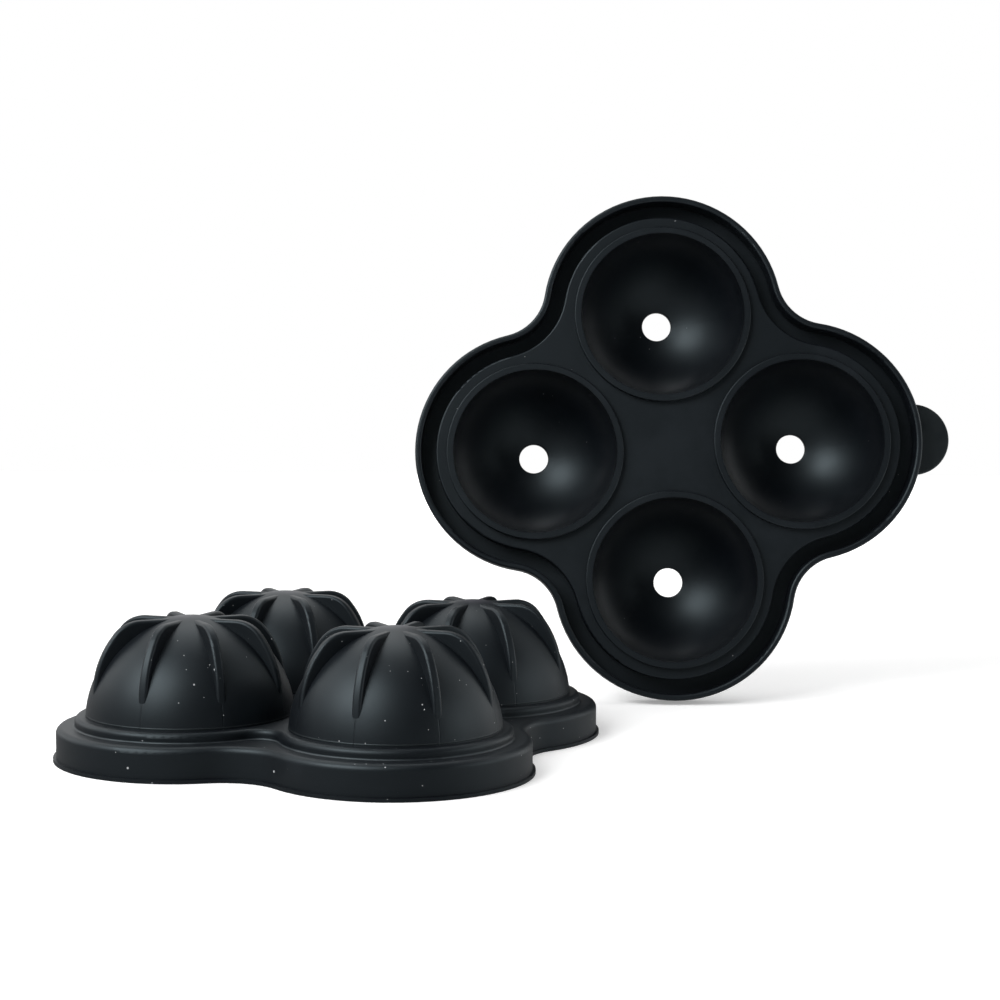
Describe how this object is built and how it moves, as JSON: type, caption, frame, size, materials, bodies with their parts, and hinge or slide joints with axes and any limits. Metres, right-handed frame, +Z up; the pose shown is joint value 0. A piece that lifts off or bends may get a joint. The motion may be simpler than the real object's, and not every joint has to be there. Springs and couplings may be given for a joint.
{
  "type": "ice ball mold",
  "caption": "Two-part black silicone mold that freezes water into round ice balls, laid open: a ribbed half and a filling half with fill holes and a pull tab.",
  "frame": {"origin": "on the floor under the middle of the pair's bounding box, both halves standing open on that floor", "axes": "+X across the front, along the pair's longest extent; +Y away from the front, where the filling half stands behind the ribbed half; +Z up, along the shortest extent"},
  "size_m": [0.2292, 0.1586, 0.1388],
  "materials": {
    "black_silicone": "matte"
  },
  "bodies": {
    "root": {"ribbed_half": "black_silicone", "filling_half": "black_silicone"}
  },
  "joints": []
}
